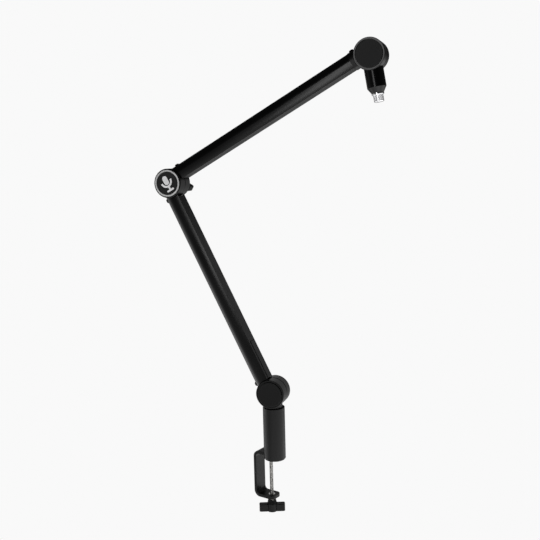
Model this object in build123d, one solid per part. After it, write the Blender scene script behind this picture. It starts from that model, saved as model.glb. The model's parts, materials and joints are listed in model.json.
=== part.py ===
from build123d import *
import math
import os

# Desk-clamp microphone boom arm, in millimetres.
# Origin: the clamp's upper jaw face, on the axis of the upright post. +Z up, +X out of the clamp's throat.

# --- driving dimensions -------------------------------------------------------------------------
LOWER_ARM, UPPER_ARM = 390.0, 389.0  # pivot to pivot
SWING = 16.5  # degrees that the arm plane stands turned about the post
LOWER_TILT = 116.0  # lower arm above +X of the arm plane
UPPER_TILT = 28.8  # upper arm above +X
MOUNT_TILT = -80.4  # microphone mount, hanging down
PIVOT_Z = 116.4  # base pivot above the jaw face

KNUCKLE_R = 24.3  # round joint bodies
FRONT_DEPTH, REAR_DEPTH = 18.7, 17.3  # joint halves without their caps
ELBOW_DEPTH = 19.0  # rear half of the elbow, which has no cap
RIM, SEAM_CHAMFER = 0.8, 0.6  # rounding of a half's outer rim, chamfer at the slot
SEAM = 0.5  # half of the slot between two joint halves
WASHER_R, WASHER_IN, WASHER_LOW = 20.5, 9.0, -0.2  # friction washer in that slot
ROOM = 0.6  # gap between a neck and the other half's rim
CAP_R = 20.9
CAP_PROUD = 1.0  # how far a cap stands out of its joint half
CAP_SEAT = 2.5  # depth of the bore that a cap sits in
CAP_GROOVE, GROOVE_WIDTH = 1.5, 0.8  # shadow groove round a cap
FIT = 0.05  # radial gap of a fixed fit
BOUND = 40.0  # half size of cutting tools, beyond every joint

TUBE_R = 14.0  # rounded side of the arm tube, and its half width
TUBE_OFF = 6.5  # centre of that round above the pivot line
SIDE_R = 50.0  # the sides curve in a little towards the flat
TUBE_FLAT = -5.3  # flat inner side, below the pivot line
TUBE_GAP = 18.0  # pivot to tube end
WALL = 1.8
WEB_LOW, WEB_HIGH = 2.2, 3.4  # wall between cable channel and spring chamber
MOUTH = 10.2  # half width of the channel's mouth
STRIP, STRIP_T = 11.4, 0.9  # half width and thickness of the cover strip
RAISED = 6.4  # half width of the raised band on the cable exit cover
LIP = 1.3
LIP_LOW = TUBE_FLAT + STRIP_T  # the lips that the strip's legs hook behind
LIP_HIGH = LIP_LOW + LIP
CORNER = 0.7  # rounding between the flat and the sides
SLIDE = 0.1  # gap between a tube and the spigot inside it
SPIGOT_END = 44.0

BOLT_R = 3.95
BORE_R = 4.02
HEAD_R = 6.5
POCKET_R, POCKET_FLOOR = 8.2, 10.5
HEAD_H, NUT_H = 4.2, 3.6
NUT_R = 7.2  # across the nut's corners, halved
NUT_GAP = 0.3  # free play between a pivot nut and the half that turns against it
HEX_R, HEX_DEEP = 2.9, 3.0  # key socket in the bolt heads
GROOVE_IN, GROOVE_OUT, GROOVE_DEEP = 8.2, 16.8, 8.0  # sweep of the spring pin

SPRING_Z = 10.6  # spring axis above the pivot line
SPRING_R, SPRING_BORE = 6.5, 4.5
SPRING_FROM, SPRING_TO = 58.0, 318.0
ANCHOR_GAP = 25.0  # far pivot to the end of the anchor's stud
ANCHOR_R = 2.5
ROD_Y = -4.5
ROD_R = 1.5
EYE_R, EYE_HALF = 3.5, 2.0
PIN_R = 2.0
PIN_FRONT, PIN_BACK, PIN_SEAT = -7.0, 8.0, -1.0  # the pin is pressed in from its seat back
PIN_REACH = 12.0  # spring pin from the pivot axis
PIN_X = -math.sqrt(PIN_REACH**2 - SPRING_Z**2)

SCREW_AT = 23.3  # tube screw from the pivot
SCREW_SHANK, SOCKET_R = 2.0, 1.5
SCREW_HEAD_R = 3.8
LOWER_HEAD_H, UPPER_HEAD_H = 2.8, 2.1  # how far the tube screws stand out
SCREW_TIP = SPRING_Z + ANCHOR_R + 0.3  # the screws stop above the spring anchor
BAND_T = 0.6
BAND_FROM, BAND_TO = 19.0, 30.5  # band at the tip end of the upper tube
COVER_END = 26.5
EXIT_FROM, EXIT_TO = 25.4, 92.5  # cable exit cover on the lower arm

SLEEVE_R, SLEEVE_BORE = 18.5, 15.0
SLEEVE_LOW, SLEEVE_HIGH = 1.0, 90.4
RECESS_R, RECESS_DEEP = 17.2, 3.0  # counterbore at the sleeve's top
SHAFT_R = 11.95
SHAFT_LOW = 21.4
BUSH_R = 12.0
BUSH_LOW, BUSH_TALL = 24.2, 12.2
FLANGE_R, FLANGE_T = 16.4, 0.6
BOSS_R = 15.0
BOSS_LOW = SLEEVE_HIGH - RECESS_DEEP + FLANGE_T + 0.4
CLIP_LOW, CLIP_T = 22.5, 1.1
CLIP_IN, CLIP_OUT = 11.25, 13.8

BAR_W, BAR_T = 25.0, 5.0  # clamp's flat bar
SPINE_X = -30.7  # inner face of the spine
TOP_ARM_LOW = 6.7
LOW_ARM_TOP = -65.1
LOW_ARM_END = 3.0
BEND = 6.0  # inner radius of the bar's bends
PAD_R, PAD_T = 17.2, 1.0
PLUG_TOP = 19.4
BOLT_AT = 7.0  # sleeve bolts from the post axis
SLEEVE_BOLT_R, SLEEVE_HEAD_R, SLEEVE_HEAD_H = 2.4, 4.8, 2.5
SCREW_X = -8.2
SCREW_R = 3.0
SCREW_TOP = -4.2
FOOT_R, FOOT_HUB_R = 6.5, 4.0  # pressure pad
FOOT_LOW, FOOT_TOP, FOOT_RUBBER = -5.4, -2.9, 0.8
NUT_FLANGE_R, NUT_FLANGE_T = 8.3, 1.6
NUT_BUSH_R = 5.5
KNOB_Z = -76.1

STUD_SHANK = 6.0  # the stud inside its collar and the mount
STUD_R = 7.9375  # 5/8"-27
MOUNT_R = 14.8
MOUNT_CONE, MOUNT_END = 49.3, 57.5
CONE_END_R = 9.6
COLLAR_R, COLLAR_END = 9.6, 60.5
STUD_FROM, STUD_END = 40.0, 71.2


# --- places ---------------------------------------------------------------------------------------
def turned(angle):
    """Turn a part that lies along +X up to an angle in the arm plane."""
    return Rot(0, -angle, 0)


def reach(angle, length):
    return math.cos(math.radians(angle)) * length, math.sin(math.radians(angle)) * length


LOWER_X, LOWER_Z = reach(LOWER_TILT, LOWER_ARM)
UPPER_X, UPPER_Z = reach(UPPER_TILT, UPPER_ARM)
PLANE = Rot(0, 0, SWING)
BASE = PLANE * Pos(0, 0, PIVOT_Z)
ELBOW = PLANE * Pos(LOWER_X, 0, PIVOT_Z + LOWER_Z)
TIP = PLANE * Pos(LOWER_X + UPPER_X, 0, PIVOT_Z + LOWER_Z + UPPER_Z)
LOWER = BASE * turned(LOWER_TILT)
UPPER = ELBOW * turned(UPPER_TILT)
MOUNT = TIP * turned(MOUNT_TILT)


# --- small shapes ---------------------------------------------------------------------------------
def disc_y(radius, low, high, x=0.0, z=0.0):
    """Cylinder along Y from low to high."""
    return Pos(x, (low + high) / 2, z) * Rot(90, 0, 0) * Cylinder(radius, high - low)


def disc_x(radius, low, high, y=0.0, z=0.0):
    return Pos((low + high) / 2, y, z) * Rot(0, 90, 0) * Cylinder(radius, high - low)


def disc_z(radius, low, high, x=0.0, y=0.0):
    return Pos(x, y, (low + high) / 2) * Cylinder(radius, high - low)


def block(x, y, z):
    """Box from three (low, high) pairs."""
    size = [high - low for low, high in (x, y, z)]
    middle = [(low + high) / 2 for low, high in (x, y, z)]
    return Pos(*middle) * Box(*size)


def far_end(shape, arm):
    """Take a part made for the near pivot to the arm's far pivot."""
    return Pos(arm, 0, 0) * mirror(shape, about=Plane.YZ)


# --- arm tube and its covers ------------------------------------------------------------------------
def tube_section(grow, corner, low=TUBE_FLAT):
    """Round on the outer side, flat on the inner side, drawn in the YZ plane."""
    half = TUBE_R + grow
    bottom = low - grow
    with BuildSketch(Plane.YZ) as section:
        with Locations((0, (TUBE_OFF + bottom) / 2)):
            Rectangle(2 * half, TUBE_OFF - bottom)
        for side in (-1, 1):
            with Locations((side * (SIDE_R - TUBE_R), TUBE_OFF)):
                Circle(SIDE_R + grow, mode=Mode.INTERSECT)
        with Locations((0, TUBE_OFF)):
            Circle(half)
        with Locations((0, bottom - half)):
            Rectangle(4 * half, 2 * half, mode=Mode.SUBTRACT)
        if corner:
            low_corners = section.vertices().filter_by(lambda v: v.Z < bottom + 0.01)
            fillet(low_corners, corner)
    return section.sketch


def run_x(section, start, end):
    return Pos(start, 0, 0) * extrude(section, amount=end - start, dir=(1, 0, 0))


def chamber(start, end, gap=0.0):
    """Spring chamber between the outer wall and the web."""
    return run_x(tube_section(-WALL - gap, 0, WEB_HIGH - WALL), start, end)


def knuckle_relief():
    return disc_y(KNUCKLE_R + ROOM, -BOUND, BOUND)


def arm_tube(arm):
    start, end = TUBE_GAP, arm - TUBE_GAP
    tube = run_x(tube_section(0, CORNER), start, end)
    tube -= chamber(start - 1, end + 1)
    channel = run_x(tube_section(-WALL, 0, LIP_HIGH - WALL), start - 1, end + 1)
    tube -= channel - block((start - 2, end + 2), (-BOUND, BOUND), (WEB_LOW, BOUND))
    tube -= block((start - 1, end + 1), (-MOUTH, MOUTH), (TUBE_FLAT - 1, LIP_HIGH + 0.1))
    seat = STRIP + SLIDE
    tube -= block((start - 1, end + 1), (-seat, seat), (TUBE_FLAT - 1, LIP_LOW))
    tube -= knuckle_relief() + far_end(knuckle_relief(), arm)
    for x in (SCREW_AT, arm - SCREW_AT):
        tube -= disc_z(SCREW_SHANK + FIT, SPRING_Z, BOUND, x)
    return tube


def snap_cover(start, end, raised=0.0):
    """Strip that closes the cable channel: flat band on the lips, two sprung legs with barbs."""
    strip = block((start, end), (-STRIP, STRIP), (TUBE_FLAT, LIP_LOW))
    strip = chamfer(strip.edges().filter_by(Axis.X).group_by(Axis.Z)[0], 0.25)
    if raised:
        strip += block((start, end), (-RAISED, RAISED), (TUBE_FLAT - raised, LIP_LOW))
    for side in (-1, 1):
        leg = sorted((side * (MOUTH - 1.0), side * (MOUTH - 0.2)))
        barb = sorted((side * (MOUTH - 1.0), side * (MOUTH + 0.6)))
        strip += block((start, end), leg, (LIP_LOW - 0.1, LIP_HIGH + 1.4))
        strip += block((start + 2, end - 2), barb, (LIP_HIGH + 0.1, LIP_HIGH + 1.4))
    return strip


def tube_screw(head_h, on_band=0.0):
    low = TUBE_OFF + TUBE_R + on_band
    head = disc_z(SCREW_HEAD_R, low, low + head_h, SCREW_AT)
    head = fillet(head.edges().group_by(Axis.Z)[-1], 1.5)
    head -= disc_z(SOCKET_R, low + head_h / 2, low + head_h + 1, SCREW_AT)
    return head + disc_z(SCREW_SHANK, SCREW_TIP, low + 0.1, SCREW_AT)


def tube_screws(arm, head_h, far_band=0.0):
    """One screw at each end of the tube."""
    return Compound(children=[tube_screw(head_h), far_end(tube_screw(head_h, far_band), arm)])


def tube_band():
    """Thin band round the tube's tip end."""
    band = run_x(tube_section(BAND_T, CORNER + 0.4), BAND_FROM, BAND_TO)
    band -= run_x(tube_section(0.02, CORNER), BAND_FROM - 1, BAND_TO + 1)
    band -= disc_z(SCREW_SHANK + FIT, SPRING_Z, BOUND, SCREW_AT)
    return band - knuckle_relief()


# --- joint halves -----------------------------------------------------------------------------------
def half_depth(side):
    return FRONT_DEPTH if side < 0 else REAR_DEPTH


def slab(radius, side, start, end):
    """Disc between two depths on one side of a joint: side is -1 for the front, 1 for the rear."""
    return disc_y(radius, *sorted((side * start, side * end)))


def joint_half(side, capped=True):
    """Round body on one side of a joint, bored for its bolt and for its cap."""
    depth = half_depth(side) if capped else ELBOW_DEPTH
    body = slab(KNUCKLE_R, side, SEAM, depth)
    rims = body.edges().filter_by(GeomType.CIRCLE).sort_by(lambda e: side * e.center().Y)
    body = fillet(rims[-1], RIM)
    rims = body.edges().filter_by(GeomType.CIRCLE).sort_by(lambda e: side * e.center().Y)
    body = chamfer(rims[0], SEAM_CHAMFER)
    body -= slab(BORE_R, side, 0, depth + 1)
    if capped:
        body -= slab(CAP_R + FIT, side, depth - CAP_SEAT, depth + 1)
        body -= slab(CAP_R + GROOVE_WIDTH, side, depth - CAP_GROOVE, depth + 1)
        body -= slab(POCKET_R, side, POCKET_FLOOR, depth)
    return body


def other_side(side):
    """Room that a neck leaves for the other half of its joint."""
    return disc_y(KNUCKLE_R + ROOM, *sorted((side * SEAM, -side * BOUND)))


def hub_space(side):
    """Where a joint half goes, taken out of a neck first so that its bores stay open."""
    return slab(KNUCKLE_R - 2, side, SEAM, BOUND)


def arm_knuckle(side, capped=True, spring=False):
    """Joint half, neck and the spigot that the tube slides on to."""
    neck = run_x(tube_section(0, CORNER), 6, TUBE_GAP - SLIDE)
    spigot = chamber(8, SPIGOT_END, SLIDE)
    spigot -= run_x(tube_section(-WALL - 4.2, 0, WEB_HIGH - WALL + 3.2), 26, SPIGOT_END + 1)
    shape = neck + spigot
    shape -= other_side(side)
    shape -= hub_space(side)
    shape += joint_half(side, capped)
    shape -= disc_z(SCREW_SHANK, SPRING_Z, BOUND, SCREW_AT)
    if spring:
        ring = slab(GROOVE_OUT, side, SEAM, GROOVE_DEEP) - slab(GROOVE_IN, side, 0, GROOVE_DEEP + 1)
        shape -= ring
        shape -= disc_x(ROD_R + 0.8, 8, SPIGOT_END + 2, ROD_Y, SPRING_Z)
    return shape


def cap(side):
    depth = half_depth(side)
    plate = slab(CAP_R, side, depth - CAP_SEAT, depth + CAP_PROUD)
    rims = plate.edges().filter_by(GeomType.CIRCLE).sort_by(lambda e: side * e.center().Y)
    return fillet(rims[-1], 0.6)


def friction_washer(pin_angle=None):
    washer = disc_y(WASHER_R, WASHER_LOW, SEAM) - disc_y(WASHER_IN, -1, 1)
    if pin_angle is not None:
        washer -= turned(pin_angle) * disc_y(PIN_R + FIT, -1, 1, PIN_X, SPRING_Z)
    return washer


def spring_pin():
    return disc_y(PIN_R, PIN_FRONT, PIN_BACK, PIN_X, SPRING_Z)


def pin_hole():
    return disc_y(PIN_R, PIN_SEAT, PIN_BACK, PIN_X, SPRING_Z)


def pivot_bolt(tail):
    top = POCKET_FLOOR + HEAD_H
    head = disc_y(HEAD_R, -top, -POCKET_FLOOR)
    head = fillet(head.edges().sort_by(Axis.Y)[0], 1.0)
    head -= Pos(0, -top, 0) * Rot(90, 0, 0) * extrude(RegularPolygon(HEX_R, 6), HEX_DEEP, both=True)
    return head + disc_y(BOLT_R, -POCKET_FLOOR - 0.5, tail)


def pivot_nut():
    middle = POCKET_FLOOR + NUT_GAP + NUT_H / 2
    nut = Pos(0, middle, 0) * Rot(90, 0, 0) * extrude(RegularPolygon(NUT_R, 6), NUT_H / 2, both=True)
    return nut - disc_y(BOLT_R, 5, 20)


# --- springs ----------------------------------------------------------------------------------------
def arm_spring():
    """Close-wound extension spring, drawn as its envelope."""
    spring = disc_x(SPRING_R, SPRING_FROM, SPRING_TO, 0, SPRING_Z)
    return spring - disc_x(SPRING_BORE, SPRING_FROM - 1, SPRING_TO + 1, 0, SPRING_Z)


def spring_rod():
    """Eye on the spring pin, draw rod, and the plug screwed into the spring's end."""
    eye = disc_y(EYE_R, ROD_Y - EYE_HALF, ROD_Y + EYE_HALF, PIN_X, SPRING_Z)
    rod = disc_x(ROD_R, PIN_X + EYE_R - 0.8, SPRING_FROM - 2, ROD_Y, SPRING_Z)
    plug = disc_x(SPRING_R - 0.3, SPRING_FROM - 4, SPRING_FROM, 0, SPRING_Z)
    plug += disc_x(SPRING_BORE - 0.1, SPRING_FROM - 1, SPRING_FROM + 6, 0, SPRING_Z)
    shape = eye + rod + plug
    return shape - disc_y(PIN_R + 0.1, -10, 10, PIN_X, SPRING_Z)


def spring_anchor(arm):
    """Plug in the spring's far end, with a stud into the far knuckle's spigot."""
    plug = disc_x(SPRING_R - 0.3, SPRING_TO, SPRING_TO + 4, 0, SPRING_Z)
    plug += disc_x(SPRING_BORE - 0.1, SPRING_TO - 6, SPRING_TO + 1, 0, SPRING_Z)
    return plug + disc_x(ANCHOR_R, SPRING_TO, arm - ANCHOR_GAP, 0, SPRING_Z)


def far_knuckle(side, arm, capped=True):
    shape = far_end(arm_knuckle(side, capped), arm)
    return shape - disc_x(ANCHOR_R, arm - 60, arm - ANCHOR_GAP, 0, SPRING_Z)


def elbow_rear_knuckle():
    """Far end of the lower arm; it also holds the pin that the upper arm's spring pulls on."""
    hole = Pos(LOWER_ARM, 0, 0) * turned(UPPER_TILT - LOWER_TILT) * pin_hole()
    return far_knuckle(1, LOWER_ARM, False) - hole


# --- clamp ------------------------------------------------------------------------------------------
def clamp_frame():
    """Flat bar bent to a C; its upper arm goes through the sleeve's window and fills the bore."""
    low, high = LOW_ARM_TOP - BAR_T, TOP_ARM_LOW + BAR_T
    left = SPINE_X - BAR_T
    bar = block((left, SLEEVE_BORE), (-BAR_W / 2, BAR_W / 2), (low, high))
    bar = fillet(bar.edges().filter_by(Axis.Y).group_by(Axis.X)[0], BEND + BAR_T)
    inner = block((SPINE_X, BOUND), (-BAR_W, BAR_W), (LOW_ARM_TOP, TOP_ARM_LOW))
    bar -= fillet(inner.edges().filter_by(Axis.Y).group_by(Axis.X)[0], BEND)
    bar -= block((LOW_ARM_END, BOUND), (-BAR_W, BAR_W), (low - 1, LOW_ARM_TOP + 1))
    bar = fillet(bar.edges().filter_by(Axis.Z).filter_by(lambda e: e.center().Z < LOW_ARM_TOP), 8.0)
    right_half = block((0, BOUND), (-BAR_W, BAR_W), (TOP_ARM_LOW - 1, high + 1))
    bar -= right_half - disc_z(SLEEVE_BORE - SLIDE, TOP_ARM_LOW - 2, high + 2)
    bar -= disc_z(NUT_BUSH_R, low - 1, LOW_ARM_TOP + 1, SCREW_X)
    for y in (-BOLT_AT, BOLT_AT):
        bar -= sleeve_bolt(y)
    return bar


def sleeve_bolt(y):
    head = Pos(0, y, TOP_ARM_LOW + SLEEVE_HEAD_H / 2)
    head *= Cone(SLEEVE_HEAD_R, SLEEVE_BOLT_R, SLEEVE_HEAD_H)
    return head + disc_z(SLEEVE_BOLT_R, TOP_ARM_LOW, PLUG_TOP - 1, 0, y)


def clamp_nut():
    """Threaded bush pressed into the lower arm, with a flange under it."""
    low = LOW_ARM_TOP - BAR_T
    bush = disc_z(NUT_BUSH_R, low, LOW_ARM_TOP, SCREW_X)
    bush += disc_z(NUT_FLANGE_R, low - NUT_FLANGE_T, low, SCREW_X)
    return bush - disc_z(SCREW_R + FIT, low - 3, LOW_ARM_TOP + 1, SCREW_X)


def jaw_pad():
    """Rubber foot under the sleeve; its boss fills the bore up to the clamp's upper arm."""
    pad = disc_z(PAD_R, 0, PAD_T)
    return pad + disc_z(SLEEVE_BORE - SLIDE, PAD_T, TOP_ARM_LOW)


def post_sleeve():
    sleeve = disc_z(SLEEVE_R, SLEEVE_LOW, SLEEVE_HIGH)
    sleeve = chamfer(sleeve.edges().filter_by(GeomType.CIRCLE), 0.5)
    sleeve -= disc_z(SLEEVE_BORE, SLEEVE_LOW - 1, SLEEVE_HIGH + 1)
    sleeve -= disc_z(RECESS_R, SLEEVE_HIGH - RECESS_DEEP, SLEEVE_HIGH + 1)
    half = BAR_W / 2 + FIT
    return sleeve - block((-BOUND, 0), (-half, half), (TOP_ARM_LOW - FIT, TOP_ARM_LOW + BAR_T + FIT))


def sleeve_plug():
    plug = disc_z(SLEEVE_BORE, TOP_ARM_LOW + BAR_T + FIT, PLUG_TOP)
    for y in (-BOLT_AT, BOLT_AT):
        plug -= sleeve_bolt(y)
    return plug


def bushing(low, high, flange=0.0):
    bush = disc_z(SLEEVE_BORE, low, high)
    if flange:
        bush += disc_z(FLANGE_R, high, high + flange)
    return bush - disc_z(BUSH_R, low - 1, high + flange + 1)


def swivel_post():
    """Rear half of the base joint on a boss, with the shaft that turns in the sleeve."""
    centre = Pos(0, 0, PIVOT_Z)
    boss = disc_z(BOSS_R, BOSS_LOW, PIVOT_Z - 8)
    boss = fillet(boss.edges().group_by(Axis.Z)[0], 0.8)
    boss -= centre * other_side(1)
    boss -= centre * hub_space(1)
    shape = boss + centre * joint_half(1)
    shape += disc_z(SHAFT_R, SHAFT_LOW, BOSS_LOW + 0.2)
    groove = disc_z(SHAFT_R + 1, CLIP_LOW - 0.1, CLIP_LOW + CLIP_T + 0.1)
    shape -= groove - disc_z(CLIP_IN - FIT, SHAFT_LOW, CLIP_LOW + 2)
    shape -= centre * turned(LOWER_TILT) * pin_hole()
    return PLANE * shape


def circlip():
    ring = disc_z(CLIP_OUT, CLIP_LOW, CLIP_LOW + CLIP_T) - disc_z(CLIP_IN, SHAFT_LOW, CLIP_LOW + 2)
    return ring - block((0, 20), (-2, 2), (SHAFT_LOW, CLIP_LOW + 2))


def wing_knob(span, neck, tall, hub_r):
    """Two-winged knob on a tapered neck; its axis is Z, from the neck down."""
    thick, waist_r, waist_deep = 11.0, 19.0, 1.8
    knob = Pos(0, 0, -neck / 2) * Cone(hub_r, hub_r - 1.5, neck)
    wings = Pos(0, 0, -neck - tall / 2) * Box(span, thick, tall)
    wings = fillet(wings.edges().filter_by(Axis.Z), 3.0)
    for side in (-1, 1):
        wings -= Pos(0, side * (thick / 2 + waist_r - waist_deep), -neck - tall / 2) * Cylinder(waist_r, tall + 2)
    wings = fillet(wings.edges().group_by(Axis.Z)[0] + wings.edges().group_by(Axis.Z)[-1], 0.8)
    return knob + wings + disc_z(hub_r, -neck - tall, -neck)


def pressure_pad():
    """Cup that the screw's end turns in, with a rubber disc on top."""
    cup = disc_z(FOOT_R, SCREW_TOP, FOOT_TOP, SCREW_X)
    cup += disc_z(FOOT_HUB_R, FOOT_LOW, SCREW_TOP + 0.2, SCREW_X)
    return cup - disc_z(SCREW_R + FIT, FOOT_LOW - 1, SCREW_TOP + 0.2, SCREW_X)


def clamp_screw():
    rod = disc_z(SCREW_R, KNOB_Z - 12, SCREW_TOP, SCREW_X)
    return chamfer(rod.edges().group_by(Axis.Z)[-1], 0.8)


# --- elbow face -------------------------------------------------------------------------------------
FACE_Y = -(FRONT_DEPTH + CAP_PROUD)
RING_IN, RING_OUT = 19.5, 22.0
ELBOW_CAP_R = 23.2


def elbow_cap():
    """Cap with a wide face that carries the ring and the badge."""
    face = disc_y(ELBOW_CAP_R, FACE_Y, -FRONT_DEPTH)
    face = fillet(face.edges().filter_by(GeomType.CIRCLE).sort_by(Axis.Y)[0], 0.6)
    plate = face + slab(CAP_R, -1, FRONT_DEPTH - CAP_SEAT, FRONT_DEPTH)
    return plate - disc_y(RING_OUT, FACE_Y - 1, FACE_Y + 0.8)


def elbow_ring():
    return disc_y(RING_OUT, FACE_Y - 0.25, FACE_Y + 0.8) - disc_y(RING_IN, FACE_Y - 1, FACE_Y + 2)


def elbow_badge():
    return disc_y(RING_IN, FACE_Y + 0.2, FACE_Y + 0.8)


def emblem():
    """Plain microphone pictogram: capsule, yoke, stem and foot."""
    stroke = 3.2
    with BuildSketch(Plane.XZ) as mark:
        with Locations((0, 5.2)):
            SlotOverall(15.5, 9.0, rotation=90)
        with Locations((0, 3.6)):
            Circle(10.6)
            Circle(10.6 - stroke, mode=Mode.SUBTRACT)
            with Locations((0, 10)):
                Rectangle(30, 20, mode=Mode.SUBTRACT)
        with Locations((0, 5.2)):
            SlotOverall(15.5, 9.0, rotation=90)
        with Locations((0, -9.2)):
            Rectangle(stroke, 6.4)
        with Locations((0, -12.6)):
            SlotOverall(14.0, stroke)
    solid = extrude(mark.sketch, amount=0.45)
    return Pos(0, FACE_Y + 0.2, 0) * solid


# --- microphone mount -------------------------------------------------------------------------------
def mount_body():
    neck = disc_x(MOUNT_R, 6, MOUNT_CONE)
    cone = Pos((MOUNT_CONE + MOUNT_END) / 2, 0, 0) * Rot(0, 90, 0)
    cone *= Cone(MOUNT_R, CONE_END_R, MOUNT_END - MOUNT_CONE)
    shape = neck + cone
    shape -= other_side(-1)
    shape -= hub_space(-1)
    shape += joint_half(-1)
    return shape - disc_x(STUD_SHANK, STUD_FROM, MOUNT_END + 1)


def mount_collar():
    ring = disc_x(COLLAR_R, MOUNT_END, COLLAR_END)
    ring = chamfer(ring.edges().filter_by(GeomType.CIRCLE), 0.5)
    return ring - disc_x(STUD_SHANK, MOUNT_END - 1, COLLAR_END + 1)


def mic_stud():
    stud = disc_x(STUD_R, COLLAR_END, STUD_END)
    stud = chamfer(stud.edges().group_by(Axis.X)[-1], 0.7)
    return stud + disc_x(STUD_SHANK, STUD_FROM, COLLAR_END)


# --- nodes ------------------------------------------------------------------------------------------
REAR_NUT = ELBOW_DEPTH + 1.2  # back of the elbow's washer
KNOB_BORE = 16.0
BOLT_TAIL = POCKET_FLOOR + NUT_GAP + NUT_H
KNOB_HUB = 15.8  # elbow bolt's reach into the knob
ELBOW_KNOB_TURN = -30.0
CLAMP_KNOB_TURN = 36.5
INSERT_R = 5.0


def elbow_knob_place(shape):
    """The knob's axis runs back from the elbow; its wing points right and down."""
    return ELBOW * turned(ELBOW_KNOB_TURN) * Pos(0, REAR_NUT + 0.3, 0) * Rot(90, 0, 0) * shape


elbow_wings = wing_knob(44.8, 5.2, 14.7, 7.6) - disc_z(INSERT_R, -KNOB_BORE, 1)
elbow_insert = disc_z(INSERT_R, -KNOB_BORE, 0) - disc_z(BORE_R, -KNOB_BORE - 1, 1)
clamp_wings = wing_knob(44.0, 6.5, 12.8, 8.5) - disc_z(SCREW_R, -12, 1)
CLAMP_KNOB = Pos(SCREW_X, 0, KNOB_Z) * Rot(0, 0, CLAMP_KNOB_TURN)

clamp_parts = {
    "clamp_frame": clamp_frame(),
    "clamp_nut": clamp_nut(),
    "jaw_pad": jaw_pad(),
    "post_sleeve": post_sleeve(),
    "sleeve_plug": sleeve_plug(),
    "sleeve_bolts": Compound(children=[Part(sleeve_bolt(y).wrapped) for y in (-BOLT_AT, BOLT_AT)]),
    "lower_bushing": bushing(BUSH_LOW, BUSH_LOW + BUSH_TALL),
    "upper_bushing": bushing(SLEEVE_HIGH - RECESS_DEEP - BUSH_TALL, SLEEVE_HIGH - RECESS_DEEP, FLANGE_T),
}
screw_parts = {
    "pressure_pad": pressure_pad(),
    "pressure_pad_rubber": disc_z(FOOT_R, FOOT_TOP, FOOT_TOP + FOOT_RUBBER, SCREW_X),
    "clamp_screw": clamp_screw(),
    "clamp_knob": CLAMP_KNOB * clamp_wings,
}
post_parts = {
    "swivel_post": swivel_post(),
    "shaft_circlip": circlip(),
    "base_rear_cap": BASE * cap(1),
    "base_friction_washer": BASE * friction_washer(LOWER_TILT),
    "base_spring_pin": LOWER * spring_pin(),
}
lower_parts = {
    "lower_tube": LOWER * arm_tube(LOWER_ARM),
    "base_knuckle": LOWER * arm_knuckle(-1, spring=True),
    "elbow_rear_knuckle": LOWER * elbow_rear_knuckle(),
    "lower_cable_cover": LOWER * snap_cover(EXIT_TO + 0.6, LOWER_ARM - COVER_END),
    "cable_exit_cover": LOWER * snap_cover(EXIT_FROM, EXIT_TO, 0.6),
    "lower_spring": LOWER * arm_spring(),
    "lower_spring_rod": LOWER * spring_rod(),
    "lower_spring_anchor": LOWER * spring_anchor(LOWER_ARM),
    "lower_tube_screws": LOWER * tube_screws(LOWER_ARM, LOWER_HEAD_H),
    "base_front_cap": BASE * cap(-1),
    "base_pivot_bolt": BASE * pivot_bolt(BOLT_TAIL),
    "base_pivot_nut": BASE * pivot_nut(),
    "elbow_friction_washer": ELBOW * friction_washer(UPPER_TILT),
    "elbow_spring_pin": UPPER * spring_pin(),
    "elbow_rear_washer": ELBOW * (disc_y(10.0, ELBOW_DEPTH, REAR_NUT) - disc_y(BORE_R, 18, 22)),
}
upper_parts = {
    "upper_tube": UPPER * arm_tube(UPPER_ARM),
    "elbow_front_knuckle": UPPER * arm_knuckle(-1, spring=True),
    "tip_knuckle": UPPER * far_knuckle(1, UPPER_ARM),
    "upper_cable_cover": UPPER * snap_cover(COVER_END, UPPER_ARM - BAND_TO - 0.8),
    "upper_spring": UPPER * arm_spring(),
    "upper_spring_rod": UPPER * spring_rod(),
    "upper_spring_anchor": UPPER * spring_anchor(UPPER_ARM),
    "upper_tube_screws": UPPER * tube_screws(UPPER_ARM, UPPER_HEAD_H, BAND_T),
    "upper_tube_band": UPPER * far_end(tube_band(), UPPER_ARM),
    "elbow_front_cap": ELBOW * elbow_cap(),
    "elbow_ring": ELBOW * elbow_ring(),
    "elbow_badge": ELBOW * elbow_badge(),
    "elbow_emblem": UPPER * emblem(),
    "elbow_pivot_bolt": ELBOW * pivot_bolt(REAR_NUT + KNOB_HUB),
    "tip_rear_cap": TIP * cap(1),
    "tip_friction_washer": TIP * friction_washer(),
}
knob_parts = {
    "elbow_knob": elbow_knob_place(elbow_wings),
    "elbow_knob_insert": elbow_knob_place(elbow_insert),
}
mount_parts = {
    "mount_body": MOUNT * mount_body(),
    "mount_front_cap": TIP * cap(-1),
    "tip_pivot_bolt": TIP * pivot_bolt(BOLT_TAIL),
    "tip_pivot_nut": TIP * pivot_nut(),
    "mount_collar": MOUNT * mount_collar(),
    "mic_stud": MOUNT * mic_stud(),
}

os.makedirs("parts", exist_ok=True)
for group in (clamp_parts, screw_parts, post_parts, lower_parts, upper_parts, knob_parts, mount_parts):
    for node, shape in group.items():
        export_step(shape, f"parts/{node}.step")
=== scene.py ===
import bpy
import bmesh
import json
import math
from mathutils import Matrix, Vector

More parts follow.
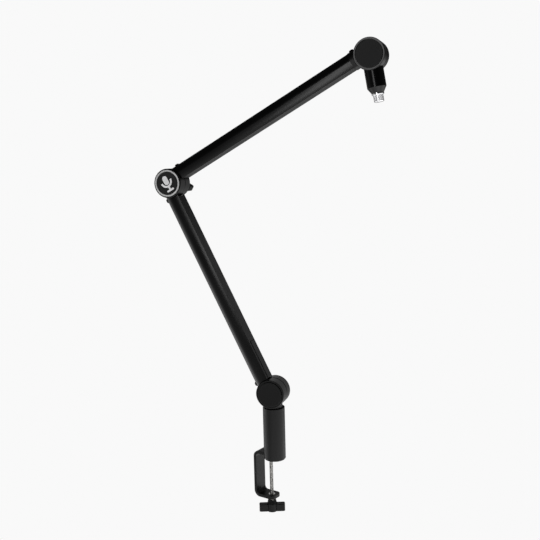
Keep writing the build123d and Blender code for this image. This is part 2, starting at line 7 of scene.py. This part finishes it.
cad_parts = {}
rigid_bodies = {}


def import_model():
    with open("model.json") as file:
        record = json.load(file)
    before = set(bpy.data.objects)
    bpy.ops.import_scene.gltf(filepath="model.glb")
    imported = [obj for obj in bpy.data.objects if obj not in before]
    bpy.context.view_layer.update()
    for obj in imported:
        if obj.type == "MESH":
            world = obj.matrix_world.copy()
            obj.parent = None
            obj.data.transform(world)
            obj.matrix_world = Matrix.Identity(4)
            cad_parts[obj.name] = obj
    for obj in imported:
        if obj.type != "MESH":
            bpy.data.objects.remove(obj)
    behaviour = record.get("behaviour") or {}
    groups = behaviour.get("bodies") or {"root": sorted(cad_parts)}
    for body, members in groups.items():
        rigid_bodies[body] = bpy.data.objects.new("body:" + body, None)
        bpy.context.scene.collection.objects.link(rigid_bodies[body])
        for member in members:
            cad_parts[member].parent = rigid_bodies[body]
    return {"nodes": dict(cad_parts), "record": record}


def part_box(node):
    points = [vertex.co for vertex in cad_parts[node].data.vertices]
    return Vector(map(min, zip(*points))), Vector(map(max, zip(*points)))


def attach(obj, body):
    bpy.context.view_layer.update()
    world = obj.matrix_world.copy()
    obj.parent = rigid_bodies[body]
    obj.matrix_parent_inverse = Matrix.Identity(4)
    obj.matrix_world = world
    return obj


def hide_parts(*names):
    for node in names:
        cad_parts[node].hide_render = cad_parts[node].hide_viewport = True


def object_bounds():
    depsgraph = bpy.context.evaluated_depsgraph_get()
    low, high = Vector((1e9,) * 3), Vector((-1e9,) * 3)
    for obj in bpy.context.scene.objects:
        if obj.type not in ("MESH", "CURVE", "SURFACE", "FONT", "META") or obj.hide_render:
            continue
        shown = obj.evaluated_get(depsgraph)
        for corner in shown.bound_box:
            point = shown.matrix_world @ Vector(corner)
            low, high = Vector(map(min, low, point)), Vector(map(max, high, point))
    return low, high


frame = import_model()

scene = bpy.context.scene
CAD_BOX = [list(map(float, corner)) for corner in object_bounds()]

# --- places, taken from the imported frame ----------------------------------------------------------
JOINTS = {j["name"]: j for j in frame["record"]["behaviour"]["joints"]}
BASE = Vector(JOINTS["base_tilt"]["pos_m"])
ELBOW = Vector(JOINTS["elbow_bend"]["pos_m"])
TIP = Vector(JOINTS["mount_tilt"]["pos_m"])
NEAR = Vector(JOINTS["base_tilt"]["axis"]).normalized()  # joint axes point to the front of the arm
UP = Vector((0, 0, 1))


def basis(origin, x_axis, z_axis):
    """Matrix that takes local X and Z to two perpendicular directions."""
    x = x_axis.normalized()
    y = z_axis.cross(x).normalized()
    z = x.cross(y)
    return Matrix.Translation(origin) @ Matrix((x, y, z)).transposed().to_4x4()


# --- material helpers -----------------------------------------------------------------------------
def new_material(name):
    material = bpy.data.materials.new(name)
    material.use_nodes = True
    nodes = material.node_tree.nodes
    nodes.clear()
    shader = nodes.new("ShaderNodeBsdfPrincipled")
    output = nodes.new("ShaderNodeOutputMaterial")
    material.node_tree.links.new(shader.outputs["BSDF"], output.inputs["Surface"])
    return material, nodes, material.node_tree.links, shader


def texture_space(nodes, links, scale):
    """Object coordinates, stretched by a scale for each axis."""
    place = nodes.new("ShaderNodeTexCoord")
    stretch = nodes.new("ShaderNodeMapping")
    stretch.inputs["Scale"].default_value = scale
    links.new(place.outputs["Object"], stretch.inputs["Vector"])
    return stretch.outputs["Vector"]


def noise(nodes, links, vector, scale, detail=3.0):
    texture = nodes.new("ShaderNodeTexNoise")
    texture.inputs["Scale"].default_value = scale
    texture.inputs["Detail"].default_value = detail
    links.new(vector, texture.inputs["Vector"])
    return texture.outputs["Fac"]


def spread(nodes, links, value, low, high):
    """Map a texture's middle range to low..high."""
    ramp = nodes.new("ShaderNodeMapRange")
    ramp.inputs["From Min"].default_value = 0.3
    ramp.inputs["From Max"].default_value = 0.7
    ramp.inputs["To Min"].default_value = low
    ramp.inputs["To Max"].default_value = high
    links.new(value, ramp.inputs["Value"])
    return ramp.outputs["Result"]


def bump(nodes, links, shader, height, strength, distance):
    node = nodes.new("ShaderNodeBump")
    node.inputs["Strength"].default_value = strength
    node.inputs["Distance"].default_value = distance
    links.new(height, node.inputs["Height"])
    links.new(node.outputs["Normal"], shader.inputs["Normal"])


def tinted(nodes, links, value, dark, light):
    ramp = nodes.new("ShaderNodeMix")
    ramp.data_type = "RGBA"
    ramp.inputs["A"].default_value = (*dark, 1)
    ramp.inputs["B"].default_value = (*light, 1)
    links.new(spread(nodes, links, value, 0.0, 1.0), ramp.inputs["Factor"])
    return ramp.outputs["Result"]


def coated(name, shade, rough, grain, grain_scale, depth, gloss=0.25):
    """Black coating with fine grain and slow drift of shade and gloss."""
    material, nodes, links, shader = new_material(name)
    space = texture_space(nodes, links, (1, 1, 1))
    fine = noise(nodes, links, space, grain_scale)
    slow = noise(nodes, links, space, 14.0, 4.0)
    dark = tuple(shade * 0.85 for _ in range(3))
    light = (shade * 1.15, shade * 1.15, shade * 1.2)
    links.new(tinted(nodes, links, slow, dark, light), shader.inputs["Base Color"])
    links.new(spread(nodes, links, slow, rough - 0.03, rough + 0.04), shader.inputs["Roughness"])
    shader.inputs["Specular IOR Level"].default_value = gloss
    bump(nodes, links, shader, fine, grain, depth)
    return material


def plated(name, colour, rough, streak=(1, 1, 1)):
    """Metal with faint turning marks."""
    material, nodes, links, shader = new_material(name)
    space = texture_space(nodes, links, streak)
    marks = noise(nodes, links, space, 900.0, 2.0)
    slow = noise(nodes, links, space, 60.0, 3.0)
    shader.inputs["Metallic"].default_value = 1.0
    dark = tuple(c * 0.9 for c in colour)
    links.new(tinted(nodes, links, slow, dark, colour), shader.inputs["Base Color"])
    links.new(spread(nodes, links, marks, rough * 0.8, rough * 1.3), shader.inputs["Roughness"])
    bump(nodes, links, shader, marks, 0.05, 0.00005)
    return material


MATERIALS = {
    "black_casting": coated("black_casting", 0.0045, 0.28, 0.08, 1800.0, 0.00006),
    "black_tube": coated("black_tube", 0.0040, 0.22, 0.04, 2600.0, 0.00004),
    "cover_strip": coated("cover_strip", 0.0080, 0.42, 0.12, 2400.0, 0.00008),
    "powder_coat": coated("powder_coat", 0.0060, 0.40, 0.30, 1500.0, 0.00012),
    "black_plastic": coated("black_plastic", 0.0085, 0.42, 0.22, 2000.0, 0.0001, 0.16),
    "rubber": coated("rubber", 0.0100, 0.75, 0.30, 1200.0, 0.0001),
    "black_steel": coated("black_steel", 0.0020, 0.32, 0.08, 2500.0, 0.00005, 0.12),
    "nylon": coated("nylon", 0.0080, 0.5, 0.1, 2000.0, 0.00005),
    "zinc_steel": plated("zinc_steel", (0.62, 0.61, 0.59), 0.28),
    "brass": plated("brass", (0.72, 0.54, 0.26), 0.25),
    "silver_ring": plated("silver_ring", (0.97, 0.97, 0.97), 0.42),
    "chrome": plated("chrome", (0.88, 0.88, 0.89), 0.07),
}
MATERIALS["white_mark"] = coated("white_mark", 0.98, 0.4, 0.05, 2000.0, 0.00003, 0.5)

# Nodes whose finish differs a little from the rest of their slot. The badge is its own lighter grey and the
# mount body is glossier. The darker base colours of the mount body, front elbow cap, clamp bar and tip
# knuckle are painted shade.
FINISH_AND_PAINTED_SHADE = {
    # mount body: glossier than its slot, with a darker base colour that is painted shade on its sides
    "mount_body": coated("mount_gloss_painted_shade", 0.0016, 0.17, 0.03, 1800.0, 0.00004, 0.25),
    "elbow_badge": coated("badge_print", 0.0220, 0.34, 0.08, 2000.0, 0.00004, 0.25),
    # front elbow cap: darker base colour is painted shade that dulls its rim
    "elbow_front_cap": coated("cap_painted_shade", 0.0060, 0.42, 0.22, 2000.0, 0.0001, 0.08),
    # clamp bar: darker base colour is painted shade on its faces
    "clamp_frame": coated("bar_painted_shade", 0.0045, 0.42, 0.30, 1500.0, 0.00012, 0.17),
    # tip knuckle: darker base colour is painted shade on its side wall
    "tip_knuckle": coated("tip_painted_shade", 0.0040, 0.30, 0.08, 1800.0, 0.00006, 0.16),
}

for part in frame["record"]["subparts"]:
    cad = bpy.data.objects[part["node"]] if part["node"] in bpy.data.objects else None
    if cad is None:
        continue
    cad.data.materials.clear()
    cad.data.materials.append(FINISH_AND_PAINTED_SHADE.get(part["node"], MATERIALS[part["material_slot"]]))

# --- mesh helpers -----------------------------------------------------------------------------------
def span(node, origin, axis):
    """How far a CAD node reaches along an axis, from an origin."""
    reach = [(v.co - origin).dot(axis) for v in frame["nodes"][node].data.vertices]
    return min(reach), max(reach)


def finish_piece(name, mesh, place, slot, body, replaced=()):
    """Put a mesh in the scene as a piece that rides on a body and takes a slot's finish."""
    mesh.transform(place)
    mesh.materials.clear()
    mesh.materials.append(MATERIALS[slot])
    for face in mesh.polygons:
        face.use_smooth = True
    mesh.update()
    piece = bpy.data.objects.new(name, mesh)
    scene.collection.objects.link(piece)
    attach(piece, body)
    if replaced:
        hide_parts(*replaced)
    return piece


def threaded_rod(name, crest, root, pitch, start, end, chamfer, sides, steps):
    """Rod along X whose surface follows a helical V thread and ends in chamfers."""
    rows = int(round((end - start) / pitch * steps))
    rod = bmesh.new()
    rings = []
    for row in range(rows + 1):
        x = start + (end - start) * row / rows
        inset = min(x - start, end - x)
        limit = crest - max(0.0, chamfer - inset)
        ring = []
        for side in range(sides):
            phase = (x / pitch - side / sides) % 1.0
            wave = 1 - abs(2 * phase - 1)
            radius = min(limit, root + (crest - root) * min(1.0, wave * 1.25))
            angle = 2 * math.pi * side / sides
            ring.append(rod.verts.new((x, radius * math.cos(angle), radius * math.sin(angle))))
        rings.append(ring)
    for low, high in zip(rings, rings[1:]):
        for side in range(sides):
            after = (side + 1) % sides
            rod.faces.new((low[side], high[side], high[after], low[after]))
    rod.faces.new(rings[0])
    rod.faces.new(list(reversed(rings[-1])))
    bmesh.ops.recalc_face_normals(rod, faces=rod.faces)
    mesh = bpy.data.meshes.new(name)
    rod.to_mesh(mesh)
    rod.free()
    return mesh


def coil(name, mean, wire, start, end, offset, turns, per_turn=16, sides=8):
    """Extension spring along X: a wire swept round a helix, closed at both ends."""
    spring = bmesh.new()
    count = turns * per_turn
    rings = []
    climb = (end - start - 2 * wire) / count
    for step in range(count + 1):
        turn = 2 * math.pi * step / per_turn
        out = Vector((0, math.cos(turn), math.sin(turn)))
        heading = Vector((climb * per_turn / (2 * math.pi * mean), -math.sin(turn), math.cos(turn)))
        across = out.cross(heading).normalized()
        centre = Vector((start + wire + climb * step, 0, offset)) + out * mean
        ring = []
        for side in range(sides):
            angle = 2 * math.pi * side / sides
            ring.append(spring.verts.new(centre + wire * (math.cos(angle) * out + math.sin(angle) * across)))
        rings.append(ring)
    for low, high in zip(rings, rings[1:]):
        for side in range(sides):
            after = (side + 1) % sides
            spring.faces.new((low[side], low[after], high[after], high[side]))
    spring.faces.new(list(reversed(rings[0])))
    spring.faces.new(rings[-1])
    bmesh.ops.recalc_face_normals(spring, faces=spring.faces)
    mesh = bpy.data.meshes.new(name)
    spring.to_mesh(mesh)
    spring.free()
    return mesh


# --- places along the arms ----------------------------------------------------------------------------
LOWER_ALONG = (ELBOW - BASE).normalized()
UPPER_ALONG = (TIP - ELBOW).normalized()
STUD = next(m for m in frame["record"]["mounts"] if m["name"] == "mic_stud")
MOUNT_ALONG = Vector(STUD["axis"]).normalized()
LOWER = basis(BASE, LOWER_ALONG, NEAR.cross(LOWER_ALONG))
UPPER = basis(ELBOW, UPPER_ALONG, NEAR.cross(UPPER_ALONG))
MOUNT = basis(TIP, MOUNT_ALONG, NEAR.cross(MOUNT_ALONG))

# --- springs and threads --------------------------------------------------------------------------------
SPRING_MEAN, SPRING_WIRE, SPRING_TURNS = 0.0054, 0.0009, 104  # wire's helix radius, wire radius, turns
STUD_PITCH, STUD_DEPTH, STUD_CHAMFER = 0.0254 / 27, 0.0006, 0.0009
SCREW_PITCH, SCREW_DEPTH, SCREW_CHAMFER = 0.001, 0.00055, 0.0008


def build_spring(node, body, origin, along, place):
    start, end = span(node, origin, along)
    outer = NEAR.cross(along)
    low, high = span(node, origin, outer)
    mesh = coil(node + "_coil", SPRING_MEAN, SPRING_WIRE, start, end, (low + high) / 2, SPRING_TURNS)
    finish_piece(node + "_coil", mesh, place, "zinc_steel", body, (node,))


build_spring("lower_spring", "lower_arm", BASE, LOWER_ALONG, LOWER)
build_spring("upper_spring", "upper_arm", ELBOW, UPPER_ALONG, UPPER)

STUD_R = STUD["dims"]["r_mm"] / 1000
stud_start, stud_end = span("mic_stud", TIP, MOUNT_ALONG)
stud_mesh = threaded_rod(
    "mic_stud_thread", STUD_R, STUD_R - STUD_DEPTH, STUD_PITCH, stud_start, stud_end, STUD_CHAMFER,
    sides=64, steps=8,
)
finish_piece("mic_stud_thread", stud_mesh, MOUNT, "chrome", "mic_mount", ("mic_stud",))

screw_low, screw_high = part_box("clamp_screw")
screw_axis = Vector(((screw_low[0] + screw_high[0]) / 2, (screw_low[1] + screw_high[1]) / 2, 0))
screw_r = (screw_high[0] - screw_low[0]) / 2
screw_place = basis(screw_axis, UP, Vector((1, 0, 0)))
screw_mesh = threaded_rod(
    "clamp_screw_thread", screw_r, screw_r - SCREW_DEPTH, SCREW_PITCH, screw_low[2], screw_high[2],
    SCREW_CHAMFER, sides=36, steps=6,
)
finish_piece("clamp_screw_thread", screw_mesh, screw_place, "zinc_steel", "clamp_screw", ("clamp_screw",))

# --- surroundings -----------------------------------------------------------------------------------
BACKDROP = 0.947
SHOT_YAW, SHOT_PITCH, SHOT_ROLL = 35.46, 7.83, -1.42
SHOT_PLACE = (0.7309, -1.0271, 0.4957)
SHOT_LENS = 51.69

# Studio brightness by height of direction, from 0 straight down to 1 straight up.
SKY = ((0.0, 1.0), (0.27, 1.1), (0.34, 0.70), (0.41, 0.42), (0.50, 0.16), (0.55, 0.05), (1.0, 0.04))
# Brighter patches: (turn, tilt) of the middle, cosines where it starts and is full, added brightness.
PANELS = (
    ((82, -30), 0.35, 0.88, 1.5),
    ((-128, -25), 0.52, 0.90, 1.3),
    ((-8, -52), 0.72, 0.97, 1.5),
)
FLOOR_HALF, FLOOR_DROP = 6.0, 0.35  # half width, depth below the clamp
SWEEP_LEVEL, SWEEP_BACK, SWEEP_SHIFT, SWEEP_HALF = 0.42, 0.6, 0.25, 1.0
SWEEP_LOW, SWEEP_HIGH = -0.30, 0.60
STRIP_TURN, STRIP_TILT, STRIP_AWAY, STRIP_HEIGHT = -30, 3, 1.5, 0.58
STRIP_WIDE, STRIP_TALL, STRIP_POWER = 0.26, 0.75, 3.2


def side_direction(turn, tilt):
    """Direction seen from the object: turn degrees to the right of the viewpoint, tilt degrees up."""
    heading = math.radians(SHOT_YAW - 90 + turn)
    flat = math.cos(math.radians(tilt))
    return Vector((math.cos(heading) * flat, math.sin(heading) * flat, math.sin(math.radians(tilt))))


def math_node(nodes, links, operation, first, second):
    node = nodes.new("ShaderNodeMath")
    node.operation = operation
    for socket, value in zip(node.inputs, (first, second)):
        if isinstance(value, float):
            socket.default_value = value
        else:
            links.new(value, socket)
    return node.outputs["Value"]


def panel(nodes, links, direction, facing, start, full):
    """0 to 1 as a direction turns towards a panel."""
    dot = nodes.new("ShaderNodeVectorMath")
    dot.operation = "DOT_PRODUCT"
    links.new(direction, dot.inputs[0])
    dot.inputs[1].default_value = facing
    ease = nodes.new("ShaderNodeMapRange")
    ease.interpolation_type = "SMOOTHSTEP"
    ease.inputs["From Min"].default_value = start
    ease.inputs["From Max"].default_value = full
    links.new(dot.outputs["Value"], ease.inputs["Value"])
    return ease.outputs["Result"]


def build_world():
    """Pale backdrop to the camera; to the surfaces, light from below and beside and darkness overhead."""
    world = bpy.data.worlds.new("studio")
    scene.world = world
    world.use_nodes = True
    nodes, links = world.node_tree.nodes, world.node_tree.links
    nodes.clear()
    place = nodes.new("ShaderNodeTexCoord")
    direction = place.outputs["Generated"]
    split = nodes.new("ShaderNodeSeparateXYZ")
    links.new(direction, split.inputs["Vector"])
    height = math_node(nodes, links, "MULTIPLY_ADD", split.outputs["Z"], 0.5)
    height.node.inputs[2].default_value = 0.5
    curve = nodes.new("ShaderNodeValToRGB")
    links.new(height, curve.inputs["Fac"])
    stops = curve.color_ramp.elements
    while len(stops) < len(SKY):
        stops.new(0.5)
    for stop, (where, level) in zip(stops, SKY):
        stop.position = where
        stop.color = (level / 2, level / 2, level / 2, 1)
    level = math_node(nodes, links, "MULTIPLY", curve.outputs["Color"], 2.0)
    gain = None
    for (turn, tilt), start, full, power in PANELS:
        share = panel(nodes, links, direction, side_direction(turn, tilt), start, full)
        share = math_node(nodes, links, "MULTIPLY", share, power)
        gain = math_node(nodes, links, "ADD", share, 1.0 if gain is None else gain)
    level = math_node(nodes, links, "MULTIPLY", level, gain)
    around = nodes.new("ShaderNodeBackground")
    links.new(level, around.inputs["Strength"])
    seen = nodes.new("ShaderNodeBackground")
    seen.inputs["Color"].default_value = (BACKDROP, BACKDROP, BACKDROP, 1)
    path = nodes.new("ShaderNodeLightPath")
    mix = nodes.new("ShaderNodeMixShader")
    output = nodes.new("ShaderNodeOutputWorld")
    links.new(path.outputs["Is Camera Ray"], mix.inputs["Fac"])
    links.new(around.outputs["Background"], mix.inputs[1])
    links.new(seen.outputs["Background"], mix.inputs[2])
    links.new(mix.outputs["Shader"], output.inputs["Surface"])


def glowing_card(name, level, corners):
    """Flat four-cornered card that gives off even grey light."""
    material = bpy.data.materials.new(name)
    material.use_nodes = True
    nodes = material.node_tree.nodes
    nodes.clear()
    glow = nodes.new("ShaderNodeEmission")
    glow.inputs["Color"].default_value = (level, level, level, 1)
    output = nodes.new("ShaderNodeOutputMaterial")
    material.node_tree.links.new(glow.outputs["Emission"], output.inputs["Surface"])
    mesh = bpy.data.meshes.new(name)
    mesh.from_pydata(corners, [], [(0, 1, 2, 3)])
    mesh.materials.append(material)
    card = bpy.data.objects.new(name, mesh)
    scene.collection.objects.link(card)
    return card


def build_floor():
    """Pale floor well below the clamp, as even as the backdrop."""
    half, low = FLOOR_HALF, CAD_BOX[0][2] - FLOOR_DROP
    corners = [(-half, -half, low), (half, -half, low), (half, half, low), (-half, half, low)]
    floor = glowing_card("floor", BACKDROP, corners)
    floor.visible_diffuse = False
    floor.visible_glossy = False


def build_sweep():
    """Lit card close behind the arm, seen only in the reflections of its lower half."""
    behind = side_direction(180, 0) * SWEEP_BACK + side_direction(90, 0) * SWEEP_SHIFT
    across = side_direction(90, 0) * SWEEP_HALF
    low, high = UP * SWEEP_LOW, UP * SWEEP_HIGH
    corners = [behind - across + low, behind + across + low, behind + across + high, behind - across + high]
    card = glowing_card("sweep", SWEEP_LEVEL, corners)
    card.visible_camera = False
    card.visible_shadow = False


def softbox(name, place, target, width, height, power):
    data = bpy.data.lights.new(name, "AREA")
    data.shape = "RECTANGLE"
    data.size, data.size_y = width, height
    data.energy = power
    lamp = bpy.data.objects.new(name, data)
    scene.collection.objects.link(lamp)
    lamp.visible_camera = False
    aim = (target - place).normalized()
    lamp.matrix_world = Matrix.Translation(place) @ aim.to_track_quat("-Z", "Y").to_matrix().to_4x4()


def shot_axes():
    yaw, pitch, roll = (math.radians(a) for a in (SHOT_YAW, SHOT_PITCH, SHOT_ROLL))
    ahead = Vector((-math.sin(yaw) * math.cos(pitch), math.cos(yaw) * math.cos(pitch), -math.sin(pitch)))
    right = Vector((math.cos(yaw), math.sin(yaw), 0))
    above = right.cross(ahead)
    right_rolled = math.cos(roll) * right + math.sin(roll) * above
    above_rolled = math.cos(roll) * above - math.sin(roll) * right
    return ahead, right_rolled, above_rolled


def build_camera():
    ahead, right, above = shot_axes()
    data = bpy.data.cameras.new("camera")
    data.lens = SHOT_LENS
    data.sensor_width = 36.0
    data.clip_end = 50.0
    camera = bpy.data.objects.new("camera", data)
    scene.collection.objects.link(camera)
    turn = Matrix((right, above, -ahead)).transposed().to_4x4()
    camera.matrix_world = Matrix.Translation(SHOT_PLACE) @ turn
    scene.camera = camera


scene.view_settings.view_transform = "Standard"
build_world()
build_floor()
build_camera()
build_sweep()
strip_aim = Vector((TIP.x, TIP.y, STRIP_HEIGHT))
strip_place = strip_aim + side_direction(STRIP_TURN, STRIP_TILT) * STRIP_AWAY
softbox("side_strip", strip_place, strip_aim, STRIP_WIDE, STRIP_TALL, STRIP_POWER)
